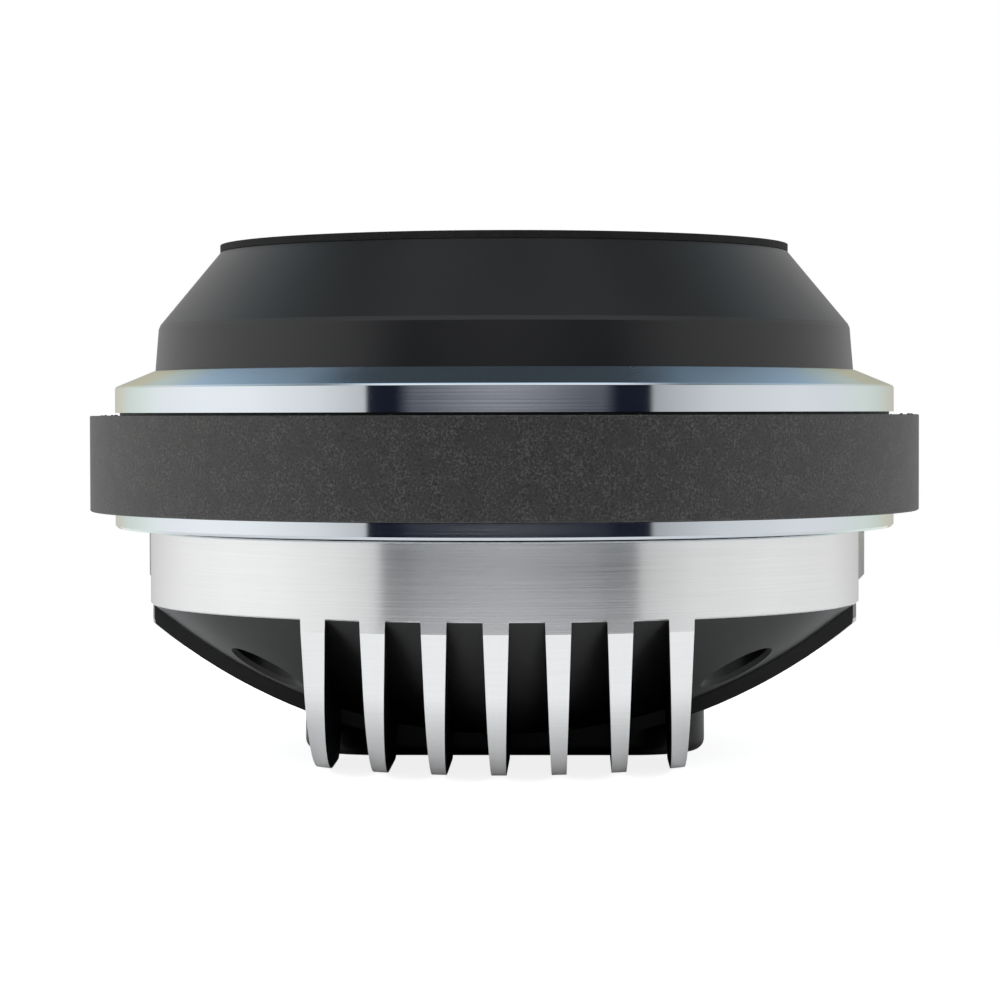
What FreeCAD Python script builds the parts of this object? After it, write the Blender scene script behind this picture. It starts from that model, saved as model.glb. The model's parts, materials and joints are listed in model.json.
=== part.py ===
import FreeCAD, Part
import math
import os

from FreeCAD import Vector

# Compression driver, throat upwards, standing on the tips of its cooling fins.
# Z is the axis of the driver, the fins run along Y, and the terminals face +Y.
# All sizes are in millimetres, and Z is 0 at the fin tips.

os.makedirs("parts", exist_ok=True)

# The stack, from the fin tips up
fin_height = 33.0
ring_height = 15.5
cover_gasket_thickness = 0.6
plate_rim_thickness = 3.3
plate_spigot_height = 4.7
lower_glue_thickness = 0.3
magnet_thickness = 20.5
upper_glue_thickness = 0.6
upper_plate_thickness = 8.9
throat_flange_height = 25.8
mounting_gasket_thickness = 1.5

ring_bottom_z = fin_height
cover_top_z = ring_bottom_z + ring_height
rim_bottom_z = cover_top_z + cover_gasket_thickness
rim_top_z = rim_bottom_z + plate_rim_thickness
gap_face_z = rim_bottom_z - plate_spigot_height
magnet_bottom_z = rim_top_z + lower_glue_thickness
magnet_top_z = magnet_bottom_z + magnet_thickness
plate_bottom_z = magnet_top_z + upper_glue_thickness
plate_top_z = plate_bottom_z + upper_plate_thickness
flange_top_z = plate_top_z + throat_flange_height
mounting_face_z = flange_top_z + mounting_gasket_thickness

# Throat and the bolt circle of its mounting face
throat_exit_radius = 25.0
throat_land_height = 5.0
throat_entry_radius = 18.0
gasket_hole_clearance = 1.0
bolt_circle_radius = 50.8
bolt_angle = 45.0
bolt_radius = 3.0
insert_wall = 1.5
insert_length = 14.0
insert_relief_depth = 4.0
gasket_bolt_clearance = 0.6

# Socket head screws, the size that holds the throat flange and the rear cover
screw_radius = 3.0
screw_head_radius = 5.0
screw_head_height = 6.0
socket_across_flats = 5.0
socket_depth = 3.0
screw_hole_clearance = 0.3
flange_screw_circle_radius = 42.0
flange_screw_seat_height = 13.8
flange_screw_thread_depth = 6.9
flange_counterbore_clearance = 0.5

# Magnet pole, gap and coil
pole_radius = 36.9
pole_shoulder = 3.9
shorting_cap_thickness = 0.4
shorting_cap_height = 9.6
coil_inner_clearance = 0.3
former_thickness = 0.12
former_height = 8.2
winding_thickness = 0.73
winding_height = 5.0
winding_top_margin = 0.5
coil_outer_clearance = 0.55

# Diaphragm and its mounting ring
dome_height = 12.0
dome_thickness = 0.15
dome_base_drop = 1.2
surround_inner_gap = 0.05
surround_thickness = 0.2
surround_roll_width = 4.13
surround_roll_depth = 1.8
surround_flange_width = 2.5
diaphragm_ring_clearance = 0.3
diaphragm_ring_width = 9.7
diaphragm_ring_thickness = 3.2
small_screw_radius = 1.5
small_screw_head_radius = 2.8
small_screw_head_height = 2.0
small_screw_thread_depth = 5.0
diaphragm_screw_inset = 3.5
diaphragm_screw_angle = 45.0
pin_radius = 1.5
pin_projection = 1.0
pin_depth = 4.6

# Phase plug
plug_gap = 0.9
plug_depth = 11.6
plug_nose_height = 16.0
plug_nose_tip_radius = 1.0
plug_slot_entry_radii = (12.0, 25.0)
plug_slot_exit_radii = (7.5, 14.5)
plug_slot_entry_width = 1.2
plug_slot_exit_width = 3.0
plug_web_count = 4
plug_web_angle = 12.0

# Rear cover casting, from its cavity outwards
cavity_clearance = 1.0
cover_screw_land = 3.8
cover_screw_angle = 34.8
cover_seat_width = 11.7
spigot_clearance = 0.3
seat_clearance = 0.2
ring_wall = 5.8
ring_edge_chamfer = 0.3
dome_surface_radius = 116.2
cover_wall = 4.5
fin_count = 7
fin_counterbore_margin = 5.93
fin_root_thickness = 5.15
fin_tip_thickness = 3.0
fin_straight_height = 2.6
fin_foot_inset = 27.1
fin_sweep_radius = 25.0
fin_sweep_top_z = 21.0
fin_end_rounding = 5.0
fin_end_bite = 0.5
block_end_margin = 7.1
block_half_width = 17.0
block_corner_radius = 16.0
block_edge_radius = 2.5
block_bottom_z = 0.1
rib_thickness = 2.9
rib_end_inset = 0.5
counterbore_radius = 6.5
counterbore_lip = 1.0
counterbore_floor_drop = 9.8
washer_radius = 6.0
washer_thickness = 1.2
cover_screw_thread_depth = 6.5
side_pad_projection = 3.9
side_pad_start_angle = 9.5
side_pad_sweep_angle = 15.0
side_pad_height = 12.9
side_pad_chamfer = 2.0
damping_pad_margin = 8.5
damping_pad_thickness = 8.0
damping_pad_clearance = 0.3

# Terminals on the hidden side of the ring
terminal_flat_depth = 3.1
terminal_flat_margin = 1.0
terminal_plate_half_width = 20.0
terminal_plate_thickness = 4.0
terminal_plate_margin = 0.5
terminal_screw_margin = 3.5
terminal_screw_length = 10.0
tab_x = 8.0
tab_width = 6.3
tab_thickness = 0.8
tab_outer_length = 10.0
tab_inner_length = 3.5
lead_wire_radius = 0.6
lead_wire_lap = 4.6
lead_strip_width = 4.0
lead_strip_thickness = 0.3
lead_strip_margin = 0.4
lead_strip_length = 7.6
channel_half_width = 13.0
channel_depth = 8.2
plug_length = 11.5
plug_clearance = 0.3

# Outlines of the plates, the magnet and the throat flange, from the ring outwards
plate_overhang = 7.5
plate_rim_bevel = 0.55
magnet_overhang = 5.4
magnet_hole_margin = 10.6
magnet_edge_chamfer = 0.2
glue_recess = 1.0
upper_plate_chamfer_width = 8.2
upper_plate_chamfer_height = 3.4
upper_plate_edge_setback = 0.3
skirt_inset = 8.7
crease_inset = 0.8
crease_height = 9.6
crease_setback = 0.5
flange_top_inset = 13.45
mounting_gasket_overhang = 0.15

# Sizes worked out from the ones above
throat_land_z = flange_top_z - throat_land_height
plug_top_z = gap_face_z + plug_depth
pole_spigot_radius = pole_radius - pole_shoulder
former_inner_radius = pole_radius + coil_inner_clearance
former_outer_radius = former_inner_radius + former_thickness
winding_outer_radius = former_outer_radius + winding_thickness
gap_outer_radius = winding_outer_radius + coil_outer_clearance
dome_base_z = gap_face_z - dome_base_drop
dome_radius = (former_outer_radius ** 2 + dome_height ** 2) / (2 * dome_height)
dome_centre_z = dome_base_z - dome_height + dome_radius
former_top_z = dome_base_z + former_height
winding_top_z = former_top_z - winding_top_margin
surround_inner_radius = former_outer_radius + surround_inner_gap
surround_roll_radius = surround_inner_radius + surround_roll_width
surround_flange_radius = surround_roll_radius + surround_flange_width
diaphragm_ring_inner_radius = surround_roll_radius + diaphragm_ring_clearance
diaphragm_ring_outer_radius = diaphragm_ring_inner_radius + diaphragm_ring_width
diaphragm_ring_bottom_z = gap_face_z - diaphragm_ring_thickness
diaphragm_screw_circle_radius = diaphragm_ring_outer_radius - diaphragm_screw_inset
cavity_radius = diaphragm_ring_outer_radius + cavity_clearance
cover_hole_radius = screw_radius + screw_hole_clearance
cover_screw_circle_radius = cavity_radius + cover_screw_land + cover_hole_radius
recess_radius = cover_screw_circle_radius + cover_seat_width
spigot_radius = recess_radius - spigot_clearance
ring_radius = recess_radius + ring_wall
cover_centre_z = ring_bottom_z + math.sqrt(dome_surface_radius ** 2 - ring_radius ** 2)
cavity_floor_radius = dome_surface_radius - cover_wall
cover_seat_z = gap_face_z - seat_clearance
counterbore_floor_z = cover_seat_z - counterbore_floor_drop
fin_foot_radius = ring_radius - fin_foot_inset
cover_screw_x = cover_screw_circle_radius * math.cos(math.radians(cover_screw_angle))
cover_screw_y = cover_screw_circle_radius * math.sin(math.radians(cover_screw_angle))
outer_fin_x = cover_screw_x - counterbore_radius - fin_counterbore_margin
fin_pitch = 2 * outer_fin_x / (fin_count - 1)
block_half_length = outer_fin_x + block_end_margin
damping_pad_radius = cavity_radius - damping_pad_margin
cavity_foot_radius = damping_pad_radius + cavity_clearance
cavity_slope_top_z = diaphragm_ring_bottom_z - small_screw_head_height
terminal_flat_y = ring_radius - terminal_flat_depth
terminal_bottom_z = ring_bottom_z + terminal_flat_margin
terminal_middle_z = (terminal_bottom_z + cover_top_z) / 2
terminal_screw_x = terminal_plate_half_width - terminal_screw_margin
plug_inner_y = terminal_flat_y - plug_length
tab_inner_y = plug_inner_y - tab_inner_length
lead_strip_bottom_z = diaphragm_ring_bottom_z - lead_strip_thickness
lead_wire_z = lead_strip_bottom_z - lead_wire_radius
tab_top_z = lead_wire_z - lead_wire_radius
tab_bottom_z = tab_top_z - tab_thickness
lead_strip_start_y = diaphragm_ring_inner_radius + lead_strip_margin
lead_strip_end_y = lead_strip_start_y + lead_strip_length
channel_bottom_z = cover_seat_z - channel_depth
plate_radius = ring_radius + plate_overhang
magnet_radius = plate_radius + magnet_overhang
magnet_hole_radius = pole_radius + magnet_hole_margin
skirt_radius = plate_radius - skirt_inset
crease_radius = skirt_radius - crease_inset
flange_top_radius = crease_radius - flange_top_inset
mounting_gasket_radius = flange_top_radius + mounting_gasket_overhang


def point(radius, height):
    return Vector(radius, 0, height)


def line(start, end):
    return Part.LineSegment(point(*start), point(*end)).toShape()


def arc(start, middle, end):
    return Part.Arc(point(*start), point(*middle), point(*end)).toShape()


def sphere_height(radius, centre_z, across):
    """Height of the lower half of a sphere about the axis, at a distance across from it."""
    return centre_z - math.sqrt(radius ** 2 - across ** 2)


def sphere_arc(radius, centre_z, start_across, end_across):
    """Arc in the XZ plane on the lower half of a sphere, between two distances from the axis."""
    middle_across = (start_across + end_across) / 2
    ends = []
    for across in (start_across, middle_across, end_across):
        ends.append((across, sphere_height(radius, centre_z, across)))
    return arc(*ends)


def turn(edges, angle=360):
    """Solid of revolution about Z from a closed chain of edges in the XZ plane."""
    face = Part.Face(Part.Wire(edges))
    return face.revolve(Vector(0, 0, 0), Vector(0, 0, 1), angle)


def eased_corner(before, corner, after, setback):
    """The two points, each a setback away, that take the place of a corner of an outline."""
    points = []
    for neighbour in (before, after):
        across = neighbour[0] - corner[0]
        rise = neighbour[1] - corner[1]
        share = setback / math.hypot(across, rise)
        points.append((corner[0] + share * across, corner[1] + share * rise))
    return points


def turn_outline(corners, angle=360):
    """Solid of revolution from a closed outline of straight sides."""
    edges = []
    for index, corner in enumerate(corners):
        edges.append(line(corner, corners[(index + 1) % len(corners)]))
    return turn(edges, angle)


def tube(inner, outer, bottom, top):
    return turn_outline([(inner, bottom), (outer, bottom), (outer, top), (inner, top)])


def rod(radius, bottom, top, x=0, y=0):
    return Part.makeCylinder(radius, top - bottom, Vector(x, y, bottom))


def box(low, high):
    size = [high[i] - low[i] for i in range(3)]
    return Part.makeBox(size[0], size[1], size[2], Vector(*low))


def ring_places(radius, angle):
    """Four places on a circle, a quarter turn apart."""
    places = []
    for step in range(4):
        turned = math.radians(angle + 90 * step)
        places.append((radius * math.cos(turned), radius * math.sin(turned)))
    return places


def hexagon_prism(across_flats, bottom, top, x, y):
    corner_radius = across_flats / math.sqrt(3)
    corners = []
    for step in range(7):
        turned = math.radians(60 * step)
        corner = Vector(corner_radius * math.cos(turned), corner_radius * math.sin(turned), bottom)
        corners.append(corner + Vector(x, y, 0))
    return Part.Face(Part.makePolygon(corners)).extrude(Vector(0, 0, top - bottom))


def throat_radius(z):
    share = (z - plug_top_z) / (throat_land_z - plug_top_z)
    return throat_entry_radius + share * (throat_exit_radius - throat_entry_radius)


def save(name, shape):
    shape.exportStep("parts/" + name + ".step")


def save_group(name, solids):
    save(name, Part.makeCompound(solids))


# Throat end
bolt_places = ring_places(bolt_circle_radius, bolt_angle)
flange_screw_places = ring_places(flange_screw_circle_radius, 0)
insert_radius = bolt_radius + insert_wall
flange_screw_seat_z = plate_top_z + flange_screw_seat_height
flange_screw_end_z = plate_top_z - flange_screw_thread_depth


def mounting_gasket():
    inner_radius = throat_exit_radius + gasket_hole_clearance
    ring = tube(inner_radius, mounting_gasket_radius, flange_top_z, mounting_face_z)
    for x, y in bolt_places:
        ring = ring.cut(rod(bolt_radius + gasket_bolt_clearance, flange_top_z - 1, mounting_face_z + 1, x, y))
    return ring


def throat_flange():
    skirt_foot = (skirt_radius, plate_top_z)
    crease = (crease_radius, plate_top_z + crease_height)
    shoulder = (flange_top_radius, flange_top_z)
    body = turn_outline([
        (throat_radius(plate_top_z), plate_top_z),
        skirt_foot,
        *eased_corner(skirt_foot, crease, shoulder, crease_setback),
        shoulder,
        (throat_exit_radius, flange_top_z),
        (throat_exit_radius, throat_land_z),
    ])
    for x, y in bolt_places:
        relief_bottom_z = flange_top_z - insert_length - insert_relief_depth
        body = body.cut(rod(insert_radius, flange_top_z - insert_length, flange_top_z + 1, x, y))
        body = body.cut(rod(bolt_radius, relief_bottom_z, flange_top_z, x, y))
    for x, y in flange_screw_places:
        counterbore = screw_head_radius + flange_counterbore_clearance
        body = body.cut(rod(counterbore, flange_screw_seat_z, flange_top_z + 1, x, y))
        body = body.cut(rod(cover_hole_radius, plate_top_z - 1, flange_screw_seat_z + 1, x, y))
    return body


def mounting_inserts():
    inserts = []
    for x, y in bolt_places:
        sleeve = rod(insert_radius, flange_top_z - insert_length, flange_top_z, x, y)
        inserts.append(sleeve.cut(rod(bolt_radius, flange_top_z - insert_length - 1, flange_top_z + 1, x, y)))
    return inserts


def throat_flange_screws():
    screws = []
    for x, y in flange_screw_places:
        head_top_z = flange_screw_seat_z + screw_head_height
        screw = rod(screw_head_radius, flange_screw_seat_z, head_top_z, x, y)
        screw = screw.fuse(rod(screw_radius, flange_screw_end_z, flange_screw_seat_z, x, y))
        socket = hexagon_prism(socket_across_flats, head_top_z - socket_depth, head_top_z + 1, x, y)
        screws.append(screw.cut(socket).removeSplitter())
    return screws


# Magnet system
def upper_plate():
    rim_foot = (plate_radius, plate_bottom_z)
    rim_top = (plate_radius, plate_top_z - upper_plate_chamfer_height)
    chamfer_top = (plate_radius - upper_plate_chamfer_width, plate_top_z)
    plate = turn_outline([
        (pole_spigot_radius, plate_bottom_z),
        rim_foot,
        *eased_corner(rim_foot, rim_top, chamfer_top, upper_plate_edge_setback),
        chamfer_top,
        (pole_spigot_radius, plate_top_z),
    ])
    for x, y in flange_screw_places:
        plate = plate.cut(rod(screw_radius, flange_screw_end_z, plate_top_z + 1, x, y))
    return plate


def ferrite_magnet():
    edge = magnet_edge_chamfer
    return turn_outline([
        (magnet_hole_radius, magnet_bottom_z),
        (magnet_radius - edge, magnet_bottom_z),
        (magnet_radius, magnet_bottom_z + edge),
        (magnet_radius, magnet_top_z - edge),
        (magnet_radius - edge, magnet_top_z),
        (magnet_hole_radius, magnet_top_z),
    ])


def glue_ring(bottom, top):
    return tube(magnet_hole_radius + glue_recess, plate_radius - glue_recess, bottom, top)


def front_plate():
    plate = turn_outline([
        (gap_outer_radius, gap_face_z),
        (spigot_radius, gap_face_z),
        (spigot_radius, rim_bottom_z),
        (plate_radius - plate_rim_bevel, rim_bottom_z),
        (plate_radius, rim_bottom_z + plate_rim_bevel),
        (plate_radius, rim_top_z),
        (gap_outer_radius, rim_top_z),
    ])
    for x, y in cover_screw_places():
        plate = plate.cut(rod(screw_radius, gap_face_z - 1, gap_face_z + cover_screw_thread_depth, x, y))
    small_hole_top_z = gap_face_z + small_screw_thread_depth
    for x, y in ring_places(diaphragm_screw_circle_radius, diaphragm_screw_angle):
        plate = plate.cut(rod(small_screw_radius, gap_face_z - 1, small_hole_top_z, x, y))
    for x in (-diaphragm_screw_circle_radius, diaphragm_screw_circle_radius):
        plate = plate.cut(rod(pin_radius, gap_face_z - 1, gap_face_z + pin_depth, x))
    return plate


def pole_piece():
    cap_seat_radius = pole_radius - shorting_cap_thickness
    cap_top_z = gap_face_z + shorting_cap_height
    return turn_outline([
        (pole_spigot_radius, gap_face_z),
        (cap_seat_radius, gap_face_z),
        (cap_seat_radius, cap_top_z),
        (pole_radius, cap_top_z),
        (pole_radius, plate_bottom_z),
        (pole_spigot_radius, plate_bottom_z),
        (pole_spigot_radius, plate_top_z),
        (throat_radius(plate_top_z), plate_top_z),
        (throat_entry_radius, plug_top_z),
        (pole_spigot_radius, plug_top_z),
    ])


def shorting_cap():
    inner_radius = pole_radius - shorting_cap_thickness
    return tube(inner_radius, pole_radius, gap_face_z, gap_face_z + shorting_cap_height)


def plug_slot(entry_radius, exit_radius):
    """One ring-shaped sound channel of the phase plug, open between its webs."""
    face_radius = dome_radius - dome_thickness - plug_gap
    entry_z = sphere_height(face_radius, dome_centre_z, entry_radius) - plug_slot_entry_width
    exit_z = plug_top_z + 1
    section = [
        (entry_radius - plug_slot_entry_width / 2, entry_z),
        (entry_radius + plug_slot_entry_width / 2, entry_z),
        (exit_radius + plug_slot_exit_width / 2, exit_z),
        (exit_radius - plug_slot_exit_width / 2, exit_z),
    ]
    spacing = 360 / plug_web_count
    channels = []
    for step in range(plug_web_count):
        channel = turn_outline(section, spacing - plug_web_angle)
        channel.rotate(Vector(0, 0, 0), Vector(0, 0, 1), spacing * step + plug_web_angle / 2)
        channels.append(channel)
    return channels


def phase_plug():
    face_radius = dome_radius - dome_thickness - plug_gap
    rim_z = sphere_height(face_radius, dome_centre_z, pole_spigot_radius)
    nose_radius = plug_slot_exit_radii[0] - plug_slot_exit_width / 2
    body = turn([
        sphere_arc(face_radius, dome_centre_z, 0, pole_spigot_radius),
        line((pole_spigot_radius, rim_z), (pole_spigot_radius, plug_top_z)),
        line((pole_spigot_radius, plug_top_z), (0, plug_top_z)),
        line((0, plug_top_z), (0, dome_centre_z - face_radius)),
    ])
    for entry_radius, exit_radius in zip(plug_slot_entry_radii, plug_slot_exit_radii):
        body = body.cut(plug_slot(entry_radius, exit_radius))
    nose = Part.makeCone(nose_radius, plug_nose_tip_radius, plug_nose_height, Vector(0, 0, plug_top_z))
    return body.fuse(nose).removeSplitter()


# Moving assembly
def diaphragm_dome():
    inner_radius = dome_radius - dome_thickness
    inner_edge = math.sqrt(inner_radius ** 2 - (dome_centre_z - dome_base_z) ** 2)
    return turn([
        sphere_arc(dome_radius, dome_centre_z, 0, former_outer_radius),
        line((former_outer_radius, dome_base_z), (inner_edge, dome_base_z)),
        sphere_arc(inner_radius, dome_centre_z, inner_edge, 0),
        line((0, dome_centre_z - inner_radius), (0, dome_centre_z - dome_radius)),
    ])


def coil_former():
    return tube(former_inner_radius, former_outer_radius, dome_base_z, former_top_z)


def voice_coil():
    return tube(former_outer_radius, winding_outer_radius, winding_top_z - winding_height, winding_top_z)


def diaphragm_surround():
    inner = surround_inner_radius
    middle = (inner + surround_roll_radius) / 2
    thickness = surround_thickness
    outer = surround_roll_radius
    flange_bottom_z = gap_face_z - thickness
    roll_bottom_z = flange_bottom_z - surround_roll_depth
    return turn([
        arc((inner, dome_base_z), (middle, roll_bottom_z), (outer, flange_bottom_z)),
        line((outer, flange_bottom_z), (surround_flange_radius, flange_bottom_z)),
        line((surround_flange_radius, flange_bottom_z), (surround_flange_radius, gap_face_z)),
        line((surround_flange_radius, gap_face_z), (outer, gap_face_z)),
        arc((outer, gap_face_z), (middle, roll_bottom_z + thickness), (inner, dome_base_z + thickness)),
        line((inner, dome_base_z + thickness), (inner, dome_base_z)),
    ])


def diaphragm_ring():
    rebate_z = gap_face_z - surround_thickness
    body = turn_outline([
        (diaphragm_ring_inner_radius, diaphragm_ring_bottom_z),
        (diaphragm_ring_outer_radius, diaphragm_ring_bottom_z),
        (diaphragm_ring_outer_radius, gap_face_z),
        (surround_flange_radius, gap_face_z),
        (surround_flange_radius, rebate_z),
        (diaphragm_ring_inner_radius, rebate_z),
    ])
    for x, y in ring_places(diaphragm_screw_circle_radius, diaphragm_screw_angle):
        body = body.cut(rod(small_screw_radius, diaphragm_ring_bottom_z - 1, gap_face_z + 1, x, y))
    for x in (-diaphragm_screw_circle_radius, diaphragm_screw_circle_radius):
        body = body.cut(rod(pin_radius, diaphragm_ring_bottom_z - 1, gap_face_z + 1, x))
    return body


def diaphragm_screws():
    screws = []
    for x, y in ring_places(diaphragm_screw_circle_radius, diaphragm_screw_angle):
        head_bottom_z = diaphragm_ring_bottom_z - small_screw_head_height
        screw = rod(small_screw_head_radius, head_bottom_z, diaphragm_ring_bottom_z, x, y)
        shank_top_z = gap_face_z + small_screw_thread_depth
        screws.append(screw.fuse(rod(small_screw_radius, diaphragm_ring_bottom_z, shank_top_z, x, y)))
    return screws


def locating_pins():
    pins = []
    for x in (-diaphragm_screw_circle_radius, diaphragm_screw_circle_radius):
        pins.append(rod(pin_radius, diaphragm_ring_bottom_z - pin_projection, gap_face_z + pin_depth, x))
    return pins


# Leads and terminals
def both_tabs(make):
    """The same piece at both terminals, negative side first."""
    return [make(-tab_x), make(tab_x)]


def lead_strip(x):
    half = lead_strip_width / 2
    return box((x - half, lead_strip_start_y, lead_strip_bottom_z),
               (x + half, lead_strip_end_y, diaphragm_ring_bottom_z))


def lead_wire(x):
    start = Vector(x, lead_strip_end_y - lead_wire_lap, lead_wire_z)
    length = plug_inner_y - start.y
    return Part.makeCylinder(lead_wire_radius, length, start, Vector(0, 1, 0))


def terminal_tab(x):
    half = tab_width / 2
    plate_outer_y = terminal_flat_y + terminal_plate_thickness
    return box((x - half, tab_inner_y, tab_bottom_z),
               (x + half, plate_outer_y + tab_outer_length, tab_top_z))


def terminal_block():
    bottom = terminal_bottom_z + terminal_plate_margin
    top = cover_top_z - terminal_plate_margin
    plate = box((-terminal_plate_half_width, terminal_flat_y, bottom),
                (terminal_plate_half_width, terminal_flat_y + terminal_plate_thickness, top))
    plug = box((-channel_half_width + plug_clearance, plug_inner_y, channel_bottom_z + plug_clearance),
               (channel_half_width - plug_clearance, terminal_flat_y, cover_seat_z - plug_clearance))
    body = plate.fuse(plug).removeSplitter()
    for tab in both_tabs(terminal_tab):
        body = body.cut(tab)
    for x in (-terminal_screw_x, terminal_screw_x):
        body = body.cut(terminal_screw_hole(x))
    return body


def terminal_screw_hole(x):
    start = Vector(x, terminal_flat_y + terminal_plate_thickness - terminal_screw_length, terminal_middle_z)
    return Part.makeCylinder(small_screw_radius, terminal_screw_length, start, Vector(0, 1, 0))


def terminal_screws():
    screws = []
    for x in (-terminal_screw_x, terminal_screw_x):
        shank = terminal_screw_hole(x)
        seat = Vector(x, terminal_flat_y + terminal_plate_thickness, terminal_middle_z)
        head = Part.makeCylinder(small_screw_head_radius, small_screw_head_height, seat, Vector(0, 1, 0))
        screws.append(shank.fuse(head))
    return screws


# Rear cover
def cover_screw_places():
    x = cover_screw_x
    y = cover_screw_y
    return [(x, y), (-x, y), (-x, -y), (x, -y)]


def fin_envelope():
    """Turned outline that all fins share: a straight land, a sloping side and a swept foot."""
    sweep_centre_z = fin_sweep_radius
    sweep_middle_z = fin_sweep_top_z / 3

    def sweep_radius_at(z):
        return fin_foot_radius + math.sqrt(fin_sweep_radius ** 2 - (sweep_centre_z - z) ** 2)

    sweep_top = (sweep_radius_at(fin_sweep_top_z), fin_sweep_top_z)
    land_bottom = (ring_radius, ring_bottom_z - fin_straight_height)
    top_z = cover_seat_z
    return turn([
        line((0, 0), (fin_foot_radius, 0)),
        arc((fin_foot_radius, 0), (sweep_radius_at(sweep_middle_z), sweep_middle_z), sweep_top),
        line(sweep_top, land_bottom),
        line(land_bottom, (ring_radius, top_z)),
        line((ring_radius, top_z), (0, top_z)),
        line((0, top_z), (0, 0)),
    ])


def fin_plate(x):
    root = fin_root_thickness / 2
    tip = fin_tip_thickness / 2
    corners = [
        Vector(x - tip, -ring_radius, 0),
        Vector(x + tip, -ring_radius, 0),
        Vector(x + root, -ring_radius, ring_bottom_z),
        Vector(x - root, -ring_radius, ring_bottom_z),
        Vector(x - tip, -ring_radius, 0),
    ]
    return Part.Face(Part.makePolygon(corners)).extrude(Vector(0, 2 * ring_radius, 0))


def fin_gap_cutter():
    """Space under the block between the two rows of fins, with rounded upper corners."""
    half = block_half_width - fin_end_bite
    outer = half + fin_end_rounding
    bend = fin_end_rounding * (1 - math.sqrt(0.5))
    x = -block_half_length

    def corner(y, z):
        return Vector(x, y, z)

    edges = [
        Part.LineSegment(corner(-outer, -1), corner(-outer, 0)).toShape(),
        Part.Arc(corner(-outer, 0), corner(-half - bend, bend), corner(-half, fin_end_rounding)).toShape(),
        Part.LineSegment(corner(-half, fin_end_rounding), corner(half, fin_end_rounding)).toShape(),
        Part.Arc(corner(half, fin_end_rounding), corner(half + bend, bend), corner(outer, 0)).toShape(),
        Part.LineSegment(corner(outer, 0), corner(outer, -1)).toShape(),
        Part.LineSegment(corner(outer, -1), corner(-outer, -1)).toShape(),
    ]
    return Part.Face(Part.Wire(edges)).extrude(Vector(2 * block_half_length, 0, 0))


def cover_block():
    """Central block that carries the inner ends of the fins."""
    length = block_half_length
    width = block_half_width
    block = box((-length, -width, block_bottom_z), (length, width, ring_bottom_z))
    uprights = [edge for edge in block.Edges if edge.BoundBox.ZLength > 1]
    block = block.makeFillet(block_corner_radius, uprights)
    rim = [edge for edge in block.Edges if edge.BoundBox.ZMax < block_bottom_z + 0.01]
    return block.makeFillet(block_edge_radius, rim)


def cover_ribs():
    """Raised bands on the domed surface, from the ends of the block to the ring."""
    radius = dome_surface_radius + rib_thickness
    end_radius = ring_radius - rib_end_inset
    end_z = sphere_height(radius, cover_centre_z, end_radius)
    lens = turn([
        sphere_arc(radius, cover_centre_z, 0, end_radius),
        line((end_radius, end_z), (end_radius, ring_bottom_z)),
        line((end_radius, ring_bottom_z), (0, ring_bottom_z)),
        line((0, ring_bottom_z), (0, cover_centre_z - radius)),
    ])
    width = block_half_width
    root_x = block_half_length - block_corner_radius
    right = lens.common(box((root_x, -width, 0), (ring_radius, width, ring_bottom_z)))
    return [right, right.mirror(Vector(0, 0, 0), Vector(1, 0, 0))]


def side_pads():
    """Cast pads on both sides of the ring, a little behind its widest line."""
    bottom_z = cover_top_z - side_pad_height
    pad_radius = ring_radius + side_pad_projection
    root = recess_radius + ring_wall / 2
    outline = [
        (root, bottom_z),
        (pad_radius - side_pad_chamfer, bottom_z),
        (pad_radius, bottom_z + side_pad_chamfer),
        (pad_radius, cover_top_z - ring_edge_chamfer),
        (root, cover_top_z - ring_edge_chamfer),
    ]
    right = turn_outline(outline, side_pad_sweep_angle)
    right.rotate(Vector(0, 0, 0), Vector(0, 0, 1), side_pad_start_angle)
    return [right, right.mirror(Vector(0, 0, 0), Vector(1, 0, 0))]


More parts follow.
